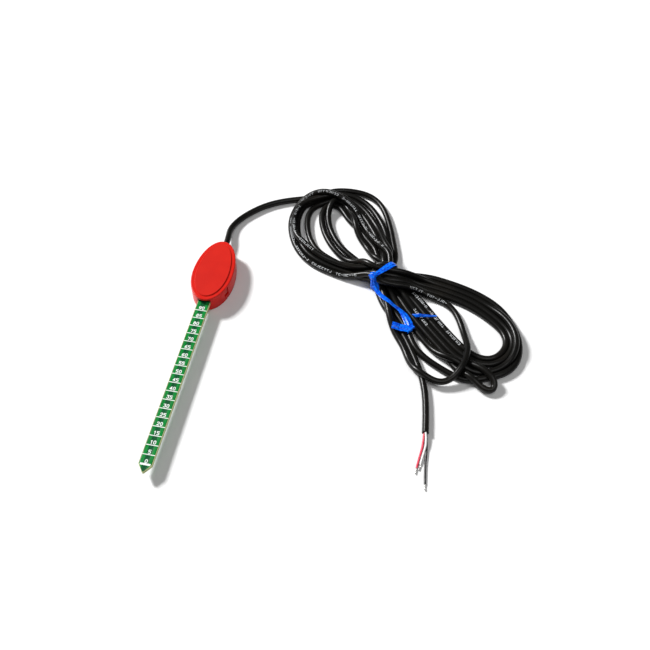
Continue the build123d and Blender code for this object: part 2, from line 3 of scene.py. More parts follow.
import bpy
import numpy as np
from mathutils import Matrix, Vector


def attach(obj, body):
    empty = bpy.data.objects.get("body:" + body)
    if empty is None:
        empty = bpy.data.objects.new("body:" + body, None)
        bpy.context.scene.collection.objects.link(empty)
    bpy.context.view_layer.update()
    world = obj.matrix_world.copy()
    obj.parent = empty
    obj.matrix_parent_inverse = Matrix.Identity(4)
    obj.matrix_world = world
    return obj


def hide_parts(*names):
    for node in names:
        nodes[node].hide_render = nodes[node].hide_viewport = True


# Soil moisture sensor: looks, cable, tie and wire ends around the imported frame. Metres, +Z up.
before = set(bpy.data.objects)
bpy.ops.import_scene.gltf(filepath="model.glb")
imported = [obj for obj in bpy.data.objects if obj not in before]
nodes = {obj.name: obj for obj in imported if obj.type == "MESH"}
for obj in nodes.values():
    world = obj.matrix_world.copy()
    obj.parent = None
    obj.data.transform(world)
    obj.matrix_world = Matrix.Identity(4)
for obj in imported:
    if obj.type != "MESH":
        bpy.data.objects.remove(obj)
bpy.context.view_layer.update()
MM = 0.001

# ------------------------------ camera
CAMERA_TARGET = Vector((62.71, -17.75, 0.0)) * MM
CAMERA_DISTANCE = 460.5 * MM
CAMERA_AZIMUTH = radians(11.24)
CAMERA_ELEVATION = radians(52.28)
camera_data = bpy.data.cameras.new("camera")
camera_data.lens = 50
camera_data.sensor_width = 36
camera_data.clip_start = 0.01
camera = bpy.data.objects.new("camera", camera_data)
bpy.context.scene.collection.objects.link(camera)
camera_back = Vector((
    sin(CAMERA_AZIMUTH) * cos(CAMERA_ELEVATION),
    -cos(CAMERA_AZIMUTH) * cos(CAMERA_ELEVATION),
    sin(CAMERA_ELEVATION),
))
camera.location = CAMERA_TARGET + camera_back * CAMERA_DISTANCE
camera.rotation_euler = camera_back.to_track_quat("Z", "Y").to_euler()
bpy.context.scene.camera = camera


# ------------------------------ materials
class Shader:
    """A material's node tree, with short calls for the nodes that the finishes share."""

    def __init__(self, name):
        self.material = bpy.data.materials.new(name)
        self.material.use_nodes = True
        self.tree = self.material.node_tree
        self.surface = self.tree.nodes["Principled BSDF"]
        self.place = self.node("ShaderNodeTexCoord").outputs["Object"]

    def node(self, kind, **settings):
        made = self.tree.nodes.new(kind)
        for name, value in settings.items():
            setattr(made, name, value)
        return made

    def put(self, socket, value):
        if isinstance(value, bpy.types.NodeSocket):
            self.tree.links.new(value, socket)
        else:
            socket.default_value = value

    def sets(self, **values):
        for name, value in values.items():
            self.put(self.surface.inputs[name.replace("_", " ")], value)

    def noise(self, scale, detail=3.0, roughness=0.55, stretch=(1, 1, 1)):
        mapping = self.node("ShaderNodeMapping")
        self.put(mapping.inputs["Vector"], self.place)
        mapping.inputs["Scale"].default_value = stretch
        made = self.node("ShaderNodeTexNoise")
        self.put(made.inputs["Vector"], mapping.outputs["Vector"])
        made.inputs["Scale"].default_value = scale
        made.inputs["Detail"].default_value = detail
        made.inputs["Roughness"].default_value = roughness
        return made.outputs["Fac"]

    def remap(self, value, low, high, to_low=0.0, to_high=1.0):
        made = self.node("ShaderNodeMapRange")
        made.interpolation_type = "SMOOTHSTEP"
        self.put(made.inputs["Value"], value)
        limits = {"From Min": low, "From Max": high, "To Min": to_low, "To Max": to_high}
        for name, number in limits.items():
            made.inputs[name].default_value = number
        return made.outputs["Result"]

    def math(self, operation, first, second=0.0):
        made = self.node("ShaderNodeMath", operation=operation)
        self.put(made.inputs[0], first)
        self.put(made.inputs[1], second)
        return made.outputs[0]

    def mix(self, share, first, second):
        made = self.node("ShaderNodeMix", data_type="RGBA")
        self.put(made.inputs["Factor"], share)
        for socket, value in ((made.inputs[6], first), (made.inputs[7], second)):
            self.put(socket, (*value, 1.0) if isinstance(value, tuple) else value)
        return made.outputs[2]

    def axis(self, name):
        parts = self.node("ShaderNodeSeparateXYZ")
        self.put(parts.inputs["Vector"], self.place)
        return parts.outputs[name]

    def bump(self, height, distance, strength=1.0, under=None):
        made = self.node("ShaderNodeBump")
        made.inputs["Strength"].default_value = strength
        made.inputs["Distance"].default_value = distance
        self.put(made.inputs["Height"], height)
        if under is not None:
            self.put(made.inputs["Normal"], under)
        return made.outputs["Normal"]


def plastic(name, dark, light, roughness, patch=60.0, grain=1500.0, depth=0.00002, **extra):
    """Moulded or painted surface: two near colours in soft patches, a fine grain and uneven gloss."""
    shader = Shader(name)
    patches = shader.noise(patch)
    fine = shader.noise(grain, detail=5.0)
    shader.sets(
        Base_Color=shader.mix(shader.remap(patches, 0.35, 0.65), dark, light),
        Roughness=shader.remap(fine, 0.3, 0.7, roughness[0], roughness[1]),
        Normal=shader.bump(fine, depth),
        **extra,
    )
    return shader


def jacket_finish():
    """Black PVC jacket: satin gloss, faint brown bloom, fine drawn grain and a soft waviness."""
    shader = Shader("jacket_black")
    bloom = shader.remap(shader.noise(45.0, detail=4.0), 0.45, 0.75)
    fine = shader.noise(2600.0, detail=4.0)
    wave = shader.noise(160.0, detail=2.0)
    shader.sets(
        Base_Color=shader.mix(bloom, (0.0045, 0.0043, 0.0038), (0.011, 0.0095, 0.0075)),
        Roughness=shader.remap(fine, 0.3, 0.7, 0.26, 0.36),
        Specular_IOR_Level=0.2,
        Normal=shader.bump(fine, 0.000012, under=shader.bump(wave, 0.00012)),
    )
    return shader.material


JACKET = jacket_finish()
PRINT = plastic("print_grey", (0.30, 0.31, 0.32), (0.50, 0.52, 0.53), (0.5, 0.7), patch=900.0).material

# ------------------------------ cable: one line from the head to the bare ends
CABLE_RADIUS = 1.65 * MM
CABLE_EXIT = (0.0, 0.0205, 0.0039)
LEAD_ROUTE = [
    CABLE_EXIT,
    (0.0, 0.0275, 0.0039),
    (-0.0014, 0.0355, 0.0024),
    (0.0008, 0.0433, 0.0017),
    (0.0060, 0.0508, 0.0017),
    (0.0136, 0.0584, 0.0017),
    (0.0232, 0.0640, 0.0017),
    (0.0360, 0.0684, 0.0017),
]
TAIL_ROUTE = [
    (0.1043, -0.0197, 0.0017),
    (0.1098, -0.0295, 0.0017),
    (0.1160, -0.0420, 0.0017),
    (0.1197, -0.0570, 0.0017),
    (0.1211, -0.0721, 0.0017),
]

# The hank is a figure of eight with one folded loop. All of it is in mm.
# Each pass is one trip round a lobe: its plan points in the cable's order, seen from above.
FIRST_BEND = [
    (45, 73), (54, 77), (63, 79.3), (71.5, 77), (78.5, 70), (83, 61), (85.6, 51), (87.2, 41), (88.4, 31),
]
LEFT_PASSES = [
    [
        (80, 19.6), (70, 20.2), (60, 21.8), (51, 24.6), (43, 29), (36.8, 35.4), (33.4, 43.6),
        (32.2, 52.3), (33.2, 60), (37.4, 66.5), (44.2, 70.5), (51.5, 71.6), (58, 70), (65, 65),
        (71.5, 58), (77, 50.5), (82, 42), (86, 33),
    ],
    [
        (79, 20.5), (72, 22.3), (65, 26.5), (58.5, 32), (53, 38.5), (49, 46.5), (46.6, 54), (45.6, 61),
        (46.6, 67), (50.7, 69.5), (55.8, 67.5), (60.2, 62), (64.5, 56), (70, 48.7), (77, 40.7),
        (84, 32.5), (89, 26.5),
    ],
    [
        (79, 18.8), (70, 19.3), (61, 21.8), (53, 26), (46.5, 32.5), (42, 40), (39.5, 49), (38.8, 57),
        (40, 64.5), (44.5, 70), (51, 72.3), (58, 71.5), (65, 67.5), (71.5, 61), (77, 53.5), (81.5, 45.5),
        (85, 37.5), (87.5, 30),
    ],
    [
        (78, 13.6), (68, 15.2), (58, 17.8), (49, 21.3), (41.5, 27), (36, 34.2), (32.5, 42.4),
        (31.2, 50.8), (31.8, 58.6), (35, 64.6), (40.5, 68.6), (47, 69.7), (53.5, 68.2), (59.5, 64.2),
        (66, 57.2), (73, 48.8), (78.3, 41.5), (83.5, 34.5), (88, 28.5),
    ],
    [
        (81, 22), (74.5, 24.8), (68, 29), (62, 34), (56.5, 40.5), (52.5, 48), (50, 55.5), (48.8, 61.8),
        (50.2, 67.4), (54.6, 70.2), (59.4, 67.4), (62, 61), (65.5, 53), (70, 46.5), (75, 40.2),
        (80.5, 34.3), (85.5, 28.8), (89.5, 24.5),
    ],
    [
        (78, 16.2), (68, 17.4), (58, 20), (49, 23.6), (41, 29.4), (35.4, 37.8), (32.7, 47), (32.3, 56),
        (34.6, 64.5), (40.4, 70.8), (48, 74.2), (56, 75.3), (64, 74), (71.5, 69), (77.5, 61),
        (81.6, 52.5), (84.6, 44), (87, 36), (88, 29),
    ],
]
# Height of each pass before it settles: along its first half, and along its second half.
LEFT_HEIGHTS = [(10.0, 5.0), (1.7, 1.7), (4.0, 3.0), (8.0, 13.0), (5.0, 5.0), (2.0, 2.0)]
RIGHT_PASSES = [
    [
        (91.5, 5), (95, -2.5), (99.3, -10.3), (104.4, -17.9), (110, -24.9), (116, -30.2), (123, -34.2),
        (130.5, -37), (138, -38.2), (145.5, -36.8), (151.5, -32.8), (156, -27), (158.6, -20),
        (158.4, -12), (155.7, -4), (151, 3.5), (145, 10), (138, 15.2), (129.5, 19), (119, 20.8),
        (108, 21.3), (97, 21),
    ],
    [
        (93.5, 9), (98, 2), (102.9, -5.2), (108, -12.8), (113.4, -19.6), (119.4, -24.6), (125.2, -28.8),
        (131, -31.2), (138, -33), (145, -33), (151.5, -30), (156.8, -24.5), (158.8, -16.5), (157.6, -9),
        (154, -1.5), (148.8, 5), (141.5, 11), (132, 15.2), (121.5, 17.6), (110.5, 18.8), (99, 19.2),
    ],
    [
        (96, 14), (101, 8.7), (107.7, 0.6), (114.5, -6.9), (120.5, -13.3), (127, -19), (133, -23.8),
        (139.5, -27.6), (146.5, -28.8), (152.8, -26), (157, -20), (157.8, -13), (155.6, -6), (150.8, 0.3),
        (144.2, 6), (136, 10.2), (127.5, 13), (118, 15), (108, 16.4), (98, 17.2),
    ],
    [
        (89.5, 2), (93.3, -4.5), (97.8, -12), (102.2, -20), (105.4, -27.5), (108.4, -33.8),
        (111.6, -38.2), (115.4, -41.7), (120.5, -44), (126, -43.9), (130.2, -40.6), (133.4, -34.6),
        (134.7, -27.5), (134.3, -19.2), (132.1, -9.4), (128.4, 0), (123.2, 6.6), (117, 9.8), (110.5, 11),
        (103, 11.6), (95, 12),
    ],
    [
        (95.5, 11), (100, 5.6), (104.5, 0.8), (109.3, -4.6), (115, -10.8), (120.9, -17.2), (126.3, -22.7),
        (131.6, -27.3), (136.8, -31), (141.2, -33.7), (145.7, -34.6), (150.8, -36.5), (151.5, -42.3),
        (146.7, -45.4), (141.7, -41.5), (136.2, -35.7), (131, -30.4), (126, -25.4), (120.3, -19),
        (114.9, -13), (109.5, -7.2), (104.8, -2.2), (100, 4), (95, 10),
    ],
    [
        (97.3, 17), (102.3, 12), (107.3, 6.7), (112.9, 0), (119, -6.5), (125.4, -13.1), (132, -19),
        (137.5, -23.6), (142.5, -25.5), (148.2, -24.6), (153.4, -21), (156.8, -15.5), (156.8, -9.4),
        (153.4, -4), (147.6, 0.2), (141.2, 3.6), (134.4, 6.8), (127.4, 9.7), (119.3, 12.4), (110.3, 14.1),
        (100, 14.9),
    ],
]
RIGHT_HEIGHTS = [(1.7, 1.7), (2.0, 6.5), (2.0, 2.0), (15.0, 15.0), (9.0, 2.0), (4.0, 6.5)]
LAST_BEND = [(88.6, 3.6), (92, -2.4), (95.8, -8), (99.7, -13.4)]
WAIST = np.array([87.5, 16.5])
WAIST_ANGLE = radians(-40)  # direction of the hank's long axis
WAIST_ALONG = np.array([cos(WAIST_ANGLE), sin(WAIST_ANGLE)])
WAIST_ACROSS = np.array([-sin(WAIST_ANGLE), cos(WAIST_ANGLE)])
# Place across the waist, and height there, of each strand to the right lobe and of each to the left lobe.
TO_RIGHT = [(-1.7, 1.7), (-0.1, 4.6), (4.9, 1.7), (-3.4, 4.6), (3.2, 4.6), (6.3, 4.6), (-5.0, 1.7)]
TO_LEFT = [(4.9, 7.6), (3.2, 10.4), (1.6, 7.6), (-4.9, 7.6), (1.6, 1.7), (-1.7, 7.6)]
WAIST_HALF_WIDTH = 6.6
WAIST_TOP = 10.4
FLOOR_Z = 1.7
TIE_RAMP = 0.25  # share of a pass over which it leaves its height at the tie, and over which it returns
TURNOVER_START = 0.4  # share of a pass where it starts to change from its first height to its second
TURNOVER_SHARE = 0.2


def ease(share):
    share = min(1.0, max(0.0, share))
    return share * share * (3 - 2 * share)


def lobe(points, start_z, heights, end_z):
    """Points of one pass with heights: from its height at the tie, over its halves, back to the tie."""
    out = []
    for i, (x, y) in enumerate(points):
        share = (i + 1) / (len(points) + 1)
        z = heights[0] + (heights[1] - heights[0]) * ease((share - TURNOVER_START) / TURNOVER_SHARE)
        if share < TIE_RAMP:
            z = start_z + (heights[0] - start_z) * ease(share / TIE_RAMP)
        if share > 1 - TIE_RAMP:
            z = heights[1] + (end_z - heights[1]) * ease((share - 1 + TIE_RAMP) / TIE_RAMP)
        out.append((x, y, z))
    return out


def hank_turns():
    """Points of the hank as it is first wound, and the numbers of each pass's first and last point."""
    points = [(x, y, FLOOR_Z) for x, y in FIRST_BEND]
    passes = {}
    for turn, (left, right) in enumerate(zip(LEFT_PASSES, RIGHT_PASSES)):
        (a, a_z), (b, b_z), next_z = TO_RIGHT[turn], TO_LEFT[turn], TO_RIGHT[turn + 1][1]
        points.append((*(WAIST + a * WAIST_ACROSS), a_z))
        passes["right", turn] = len(points), len(points) + len(right) - 1
        points += lobe(right, a_z, RIGHT_HEIGHTS[turn], b_z)
        points.append((*(WAIST + b * WAIST_ACROSS), b_z))
        passes["left", turn] = len(points), len(points) + len(left) - 1
        points += lobe(left, b_z, LEFT_HEIGHTS[turn], next_z)
    a, a_z = TO_RIGHT[-1]
    points.append((*(WAIST + a * WAIST_ACROSS), a_z))
    points += [(x, y, FLOOR_Z) for x, y in LAST_BEND]
    return np.array(points), passes


STEP = 2.2  # mm between the hank's settled points
CORNER_STEPS = 8  # steps in which one corner is first rounded


def even_steps(corners):
    """A smooth line inside these corners, in even steps, and how far along it each corner is."""
    middles = (corners[:-1] + corners[1:]) / 2
    middles[0], middles[-1] = corners[0], corners[-1]
    share = np.linspace(0, 1, CORNER_STEPS + 1)[1:, None]
    line = [corners[:1]]
    for before, corner, after in zip(middles, corners[1:], middles[1:]):
        line.append((1 - share) ** 2 * before + 2 * share * (1 - share) * corner + share**2 * after)
    line = np.vstack(line)
    run = np.r_[0, np.cumsum(np.linalg.norm(np.diff(line, axis=0), axis=1))]
    marks = np.linspace(0, run[-1], int(round(run[-1] / STEP)) + 1)
    stepped = np.stack([np.interp(marks, run, line[:, i]) for i in range(3)], axis=1)
    return stepped, run[CORNER_STEPS // 2::CORNER_STEPS]


SETTLE_ROUNDS = 400
THICK = 2 * CABLE_RADIUS / MM
NEIGHBOUR_SPAN = 1.6  # diameters along the cable within which two points never push each other
PAIR_ROUNDS = 6  # rounds between searches for points that are near each other
PAIR_MARGIN = 2.0
FALL = 0.09  # drop in a round, in mm
LAST_FALL = 0.022
LAST_FALL_FROM = 0.75  # share of the rounds
TETHER = 0.03  # share of its shift in plan that a point gets back in a round
TETHER_UNTIL = 0.85
REPEATS = 2  # pushes, and straightenings, in a round
UPWARD_PUSH = 1.6  # how much more a push goes up or down than sideways
CROWD_POWER = 0.6  # how much a point that is pushed from many sides is held back
STIFFNESS = 0.3
LEVELLING = 0.1
TIE_REACH = 4  # mm on each side of the tie where it squeezes the strands
TIE_PRESS_FROM = 0.6


def pushed(line, still, free, i, j):
    """The line after one round of pushes between the pairs i, j that touch."""
    count = len(line)
    both = np.vstack([line, still])
    gap = both[i] - both[j]
    far = np.linalg.norm(gap, axis=1)
    touch = far < THICK
    a, b, gap, far = i[touch], j[touch], gap[touch], far[touch]
    push = gap * (1, 1, UPWARD_PUSH)
    push /= np.linalg.norm(push, axis=1)[:, None] + 1e-9
    push *= ((THICK - far) / (free[a] + free[b]))[:, None]
    move, hits = np.zeros_like(both), np.zeros(len(both))
    np.add.at(move, a, push * free[a][:, None])
    np.add.at(move, b, -push * free[b][:, None])
    np.add.at(hits, a, 1)
    np.add.at(hits, b, 1)
    line = line + (move / np.maximum(1, hits**CROWD_POWER)[:, None])[:count]
    line[:, 2] = np.maximum(line[:, 2], FLOOR_Z)
    return line


def straightened(line):
    """The line after one round of its own stiffness."""
    bend = np.zeros_like(line)
    bend[1:-1] = (line[:-2] + line[2:]) / 2 - line[1:-1]
    stiff = np.zeros_like(line)
    stiff[1:-1] = (bend[:-2] + bend[2:]) / 2 - bend[1:-1]
    line = line - STIFFNESS * stiff
    line[:, 2] += LEVELLING * bend[:, 2]
    return line


def settle(start, still):
    """Let the turns fall and press against each other, the floor, the tie and the still points."""
    line, count = start.copy(), len(start)
    order = np.r_[np.arange(count), np.arange(len(still)) - 10 * count]
    free = np.r_[np.ones(count), np.zeros(len(still))]
    neighbours = ceil(NEIGHBOUR_SPAN * THICK / STEP)
    for turn in range(SETTLE_ROUNDS):
        done = turn / SETTLE_ROUNDS
        if turn % PAIR_ROUNDS == 0:
            both = np.vstack([line, still])
            square = (both**2).sum(1)
            apart_square = square[:, None] + square[None] - 2 * both @ both.T
            i, j = np.nonzero(np.triu(apart_square < (THICK + PAIR_MARGIN) ** 2, 1))
            apart = (np.abs(order[i] - order[j]) > neighbours) & (free[i] + free[j] > 0)
            i, j = i[apart], j[apart]
        line[:, 2] -= FALL if done < LAST_FALL_FROM else LAST_FALL
        if done < TETHER_UNTIL:
            line[:, :2] += TETHER * (start[:, :2] - line[:, :2])
        for _ in range(REPEATS):
            line = pushed(line, still, free, i, j)
        for _ in range(REPEATS):
            line = straightened(line)
        from_waist = line[:, :2] - WAIST
        across = from_waist @ WAIST_ACROSS
        tied = np.abs(from_waist @ WAIST_ALONG) < TIE_REACH
        out = np.where(tied, np.clip(np.abs(across) - WAIST_HALF_WIDTH, 0, None), 0) * np.sign(across)
        line[:, :2] -= out[:, None] * WAIST_ACROSS
        if done > TIE_PRESS_FROM:
            line[tied, 2] = np.minimum(line[tied, 2], WAIST_TOP - THICK / 2)
        line[:, 2] = np.maximum(line[:, 2], FLOOR_Z)
        line[:2], line[-2:] = start[:2], start[-2:]
    return line


LEFT_OUT_POINTS = 2  # at each end of the wound line, where the lead and the tail take over
lead = np.array(LEAD_ROUTE) / MM
tail = np.array(TAIL_ROUTE) / MM
turns, passes = hank_turns()
wound, corner_runs = even_steps(np.vstack([lead[-1:], turns, tail[:1]]))
pass_runs = {name: (corner_runs[first], corner_runs[last]) for name, (first, last) in passes.items()}
still = np.vstack([even_steps(lead[3:])[0], even_steps(tail[1:])[0]])
hank = settle(wound[LEFT_OUT_POINTS:-LEFT_OUT_POINTS], still)


def curve_line(name, points, radius, material, resolution):
    """Round tube on one open NURBS spline with these control points, which rides on the root body."""
    data = bpy.data.curves.new(name, "CURVE")
    data.dimensions = "3D"
    data.bevel_depth = radius
    data.bevel_resolution = 5
    data.use_fill_caps = True
    data.resolution_u = resolution
    spline = data.splines.new("NURBS")
    spline.points.add(len(points) - 1)
    for place, point in zip(spline.points, points):
        place.co = (*point, 1.0)
    spline.order_u = 3
    spline.use_endpoint_u = True
    data.materials.append(material)
    made = bpy.data.objects.new(name, data)
    bpy.context.scene.collection.objects.link(made)
    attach(made, "root")
    return made


cable_points = LEAD_ROUTE + [tuple(point * MM) for point in hank] + TAIL_ROUTE
cable = curve_line("cable", cable_points, CABLE_RADIUS, JACKET, resolution=3)
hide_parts("cable_lead", "cable_hank", "cable_tail")


def followed(curve):
    """Points in metres of a curve object's own line."""
    bare = curve.data.copy()
    bare.bevel_depth = 0
    shown = bpy.data.objects.new("line", bare)
    mesh = bpy.data.meshes.new_from_object(shown)
    line = np.array([vertex.co[:] for vertex in mesh.vertices])
    bpy.data.objects.remove(shown)
    bpy.data.curves.remove(bare)
    bpy.data.meshes.remove(mesh)
    return line


cable_line = followed(cable)


# ------------------------------ strips and tubes
def mesh_piece(name, points, faces, material, smooth=True):
    """Mesh of these points (metres) and faces, which rides on the root body."""
    mesh = bpy.data.meshes.new(name)
    mesh.from_pydata([tuple(point) for point in points], [], faces)
    mesh.materials.append(material)
    for polygon in mesh.polygons:
        polygon.use_smooth = smooth
    mesh.validate()
    made = bpy.data.objects.new(name, mesh)
    bpy.context.scene.collection.objects.link(made)
    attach(made, "root")
    return made


def skin(rings, first, closed=False):
    """Faces between rings of equal size, whose points are numbered from first. Open ends are filled."""
    count, size = len(rings), len(rings[0])
    faces = []
    for ring in range(count if closed else count - 1):
        after = (ring + 1) % count
        for i in range(size):
            j = (i + 1) % size
            corners = ((ring, i), (ring, j), (after, j), (after, i))
            faces.append(tuple(first + size * of_ring + of_point for of_ring, of_point in corners))
    if not closed:
        faces.append(tuple(first + i for i in reversed(range(size))))
        faces.append(tuple(first + (count - 1) * size + i for i in range(size)))
    return faces


STRIP_ACROSS = np.array([-1.0, -0.85, -0.45, -0.12, 0.12, 0.45, 0.85, 1.0])  # shares of the half width
STRIP_EDGE = 0.55  # thickness of a strip's edges, as a share of its middle's
STRIP_RIDGE_SHARE = 0.2


def strip_rings(centres, halves, thickness, closed=False, ridge=0.0, cup=0.0):
    """Rings of a flat strip with these centres and half-width vectors, a ridge and a cupped section."""
    centres, halves = np.array(centres, float), np.array(halves, float)
    if closed:
        ahead = np.roll(centres, -1, axis=0) - np.roll(centres, 1, axis=0)
    else:
        ahead = np.gradient(centres, axis=0)
    normal = np.cross(halves, ahead)
    normal /= np.linalg.norm(normal, axis=1)[:, None]
    width = np.linalg.norm(halves, axis=1)
    rings = []
    for centre, half, up, wide in zip(centres, halves, normal, width):
        upper, lower = [], []
        for share in STRIP_ACROSS:
            lift = cup * wide * share**2
            rise = ridge if abs(share) < STRIP_RIDGE_SHARE else 0.0
            edge = STRIP_EDGE if abs(share) == 1.0 else 1.0
            upper.append(centre + half * share + up * (lift + edge * thickness / 2 + rise))
            lower.append(centre + half * share + up * (lift - edge * thickness / 2 - rise))
        rings.append(upper + lower[::-1])
    return rings


def smoothed(points, per_run=6):
    """Catmull-Rom line through points, with this many steps a run."""
    points = np.array(points, float)
    padded = np.vstack([2 * points[0] - points[1], points, 2 * points[-1] - points[-2]])
    out = []
    for i in range(1, len(padded) - 2):
        p0, p1, p2, p3 = padded[i - 1:i + 3]
        slope, square, cube = p2 - p0, 2 * p0 - 5 * p1 + 4 * p2 - p3, 3 * p1 - p0 - 3 * p2 + p3
        for t in np.arange(per_run) / per_run:
            out.append(0.5 * (2 * p1 + slope * t + square * t**2 + cube * t**3))
    out.append(points[-1])
    return np.array(out)


def round_angles(count):
    """Angles of this many even steps round a circle."""
    return np.linspace(0, 2 * pi, count + 1)[:-1]


def cable_top(x, y, reach=0.0):
    """Height in metres of the highest cable surface over a plan point in metres, or of the floor."""
    far = np.hypot(cable_line[:, 0] - x, cable_line[:, 1] - y)
    over = far < CABLE_RADIUS + reach
    if not over.any():
        return 0.0
    drop = np.clip(far[over] - reach, 0, None)
    return float((cable_line[over, 2] + np.sqrt(CABLE_RADIUS**2 - drop**2)).max())


# ------------------------------ tie: a flat blue strip, knotted at the waist
TIE_THICKNESS = 0.35 * MM
# Blue film in widely spread dark and light patches, laid at random: painted highlights and painted shade
# that stand in for the crinkled film's creases.
TIE_WITH_PAINTED_SHADE = plastic(
    "tie_blue_painted_shade", (0.0, 0.05, 0.58), (0.0, 0.19, 1.0), (0.2, 0.36), patch=900.0, grain=1500.0, depth=0.0001,
    Specular_IOR_Level=0.3,
).material
waist_centre = np.array([*(WAIST * MM), 0.0])
along = np.array([*WAIST_ALONG, 0.0])
across = np.array([*WAIST_ACROSS, 0.0])
BAND_STATIONS = 56
WAIST_SLICE = 2.0 * MM  # on each side of the tie, where the strands that it holds are looked at


def waist_ring():
    """Centres of the band: the outline round the strands at the waist, in even steps."""
    near = cable_line[np.abs((cable_line[:, :2] - waist_centre[:2]) @ WAIST_ALONG) < WAIST_SLICE]
    spots = np.stack([(near[:, :2] - waist_centre[:2]) @ WAIST_ACROSS, near[:, 2]], axis=1)
    angles = round_angles(24)
    circle = np.stack([np.cos(angles), np.sin(angles)], axis=1) * (CABLE_RADIUS + TIE_THICKNESS / 2)
    cloud = (spots[:, None] + circle[None]).reshape(-1, 2)
    cloud[:, 1] = np.maximum(cloud[:, 1], TIE_THICKNESS / 2)
    cloud = cloud[np.lexsort((cloud[:, 1], cloud[:, 0]))]

    def chain(ordered):
        kept = []
        for point in ordered:
            while len(kept) > 1:
                first, second = kept[-1] - kept[-2], point - kept[-2]
                if first[0] * second[1] - first[1] * second[0] > 0:
                    break
                kept.pop()
            kept.append(point)
        return kept[:-1]

    hull = np.array(chain(cloud) + chain(cloud[::-1]))
    hull = np.vstack([hull, hull[:1]])
    run = np.r_[0, np.cumsum(np.linalg.norm(np.diff(hull, axis=0), axis=1))]
    marks = np.linspace(0, run[-1], BAND_STATIONS + 1)[:-1]
    ring = np.stack([np.interp(marks, run, hull[:, i]) for i in range(2)], axis=1)
    return np.array([waist_centre + v * across + np.array([0, 0, z]) for v, z in ring])


tie_points = []
tie_faces = []


def add_strip(centres, halves, closed=False, ridge=0.05 * MM, cup=0.0):
    """Add a strip to the tie's mesh."""
    rings = strip_rings(centres, halves, TIE_THICKNESS, closed, ridge, cup)
    tie_faces.extend(skin(rings, len(tie_points), closed))
    for ring in rings:
        tie_points.extend(ring)


BAND_PLACES = (-8 * MM, -4 * MM, 3 * MM, 8 * MM)  # across the waist, from the knot's side
BAND_HALF_WIDTHS = (1.0 * MM, 1.3 * MM, 1.9 * MM, 1.6 * MM)
BAND_RIDGE = 0.25 * MM
band = waist_ring()
band_place = (band - waist_centre) @ across
band_width = np.interp(band_place, BAND_PLACES, BAND_HALF_WIDTHS)
add_strip(band, band_width[:, None] * along, closed=True, ridge=BAND_RIDGE)

KNOT_PLACE = 7.9  # mm from the waist's middle
KNOT_REACH = 1.2 * MM  # beyond a strand's side, where the knot still rests on it
KNOT_RISE = 0.6 * MM
KNOT_RIPPLE = 0.15  # share of the half width by which a loop widens and narrows
# Each loop's turn in plan in degrees and its lean in radians. Then, in mm, its half length, half height,
# half width and shift.
KNOT_LOOPS = [
    (50, 0.15, 1.5, 1.15, 1.7, (0, 0, 0)),
    (-35, -0.2, 1.85, 1.25, 1.2, (0.3, -0.2, 0.25)),
    (8, 0.35, 1.25, 1.5, 1.0, (-0.3, 0.2, 0.2)),
]
knot = np.array([*((WAIST - KNOT_PLACE * WAIST_ACROSS) * MM), 0.0])
knot[2] = cable_top(knot[0], knot[1], KNOT_REACH) + KNOT_RISE


def knot_loop(turn, lean, long, tall, width, shift):
    """One wrap of the knot: a closed strip round an axis that is turned in plan and leans."""
    axis = np.array([cos(turn) * cos(lean), sin(turn) * cos(lean), sin(lean)])
    side = np.cross((0, 0, 1), axis)
    side /= np.linalg.norm(side)
    up = np.cross(axis, side)
    angles = round_angles(24)
    centres = [knot + shift + side * long * cos(t) + up * tall * sin(t) for t in angles]
    halves = [axis * width * (1 + KNOT_RIPPLE * sin(3 * t)) for t in angles]
    add_strip(centres, halves, closed=True)


for turn, lean, long, tall, width, shift in KNOT_LOOPS:
    knot_loop(radians(turn), lean, long * MM, tall * MM, width * MM, np.array(shift) * MM)

DRAPE_PROBES = (-0.8, 0, 0.8)  # shares of a strip's half width where it can rest on the cable
DRAPE_CLEARANCE = 0.35 * MM
DRAPE_ROUNDS = 60
DRAPE_SAG = 0.004 * MM  # what a point may hang below the line between its neighbours
LONG_TAIL_PLAN = [
    (82.9, 9.2), (84.3, 6.4), (87.0, 3.4), (90.4, 0.3), (94.6, -2.2), (99.0, -4.2), (102.0, -7.0),
    (104.2, -10.6), (105.6, -14.2),
]
LONG_TAIL_HALF_WIDTHS = [1.2, 1.25, 1.2, 1.15, 0.85, 1.0, 1.8, 2.05, 2.1]
LEAVING_POINTS = 6  # points over which the long tail comes down from the knot to the cable
FOLD_HALF_WIDTH = 2.1 * MM
FOLD_AHEAD = 1.2 * MM  # from the last point of the plan to the fold
FOLD_RADIUS = 0.4 * MM
FOLD_STEPS = 7
END_HEADING = np.array([-0.995, 0.02, 0.0])  # way of the folded end
END_PLACES = np.linspace(1.6, 9.6, 9)  # mm from the fold
END_DROP = 0.05  # drop for each mm from the fold
END_PROBE = 1.5 * MM
END_CLEARANCE = 0.5 * MM
LONG_TAIL_RIDGE = 0.4 * MM
LONG_TAIL_CUP = 0.12
SHORT_TAIL_PLAN = [
    (84.2, 10.0), (86.2, 7.0), (88.8, 3.6), (95.0, -0.6), (101.0, -3.6), (107.0, -5.6), (112.5, -5.7),
    (118.0, -5.2),
]
# At these steps of the short tail: its height in mm, its lean in radians and its half width in mm.
SHORT_TAIL_HEIGHTS = ((0, 4, 8, 14, 26, 32, 42), (7.8, 5.4, 3.0, 1.2, 1.2, 4.6, 5.4))
SHORT_TAIL_LEANS = ((0, 12, 30, 42), (0.4, 1.2, 1.0, 0.5))
SHORT_TAIL_HALF_WIDTHS = ((0, 14, 30, 42), (0.9, 0.9, 1.0, 0.35))


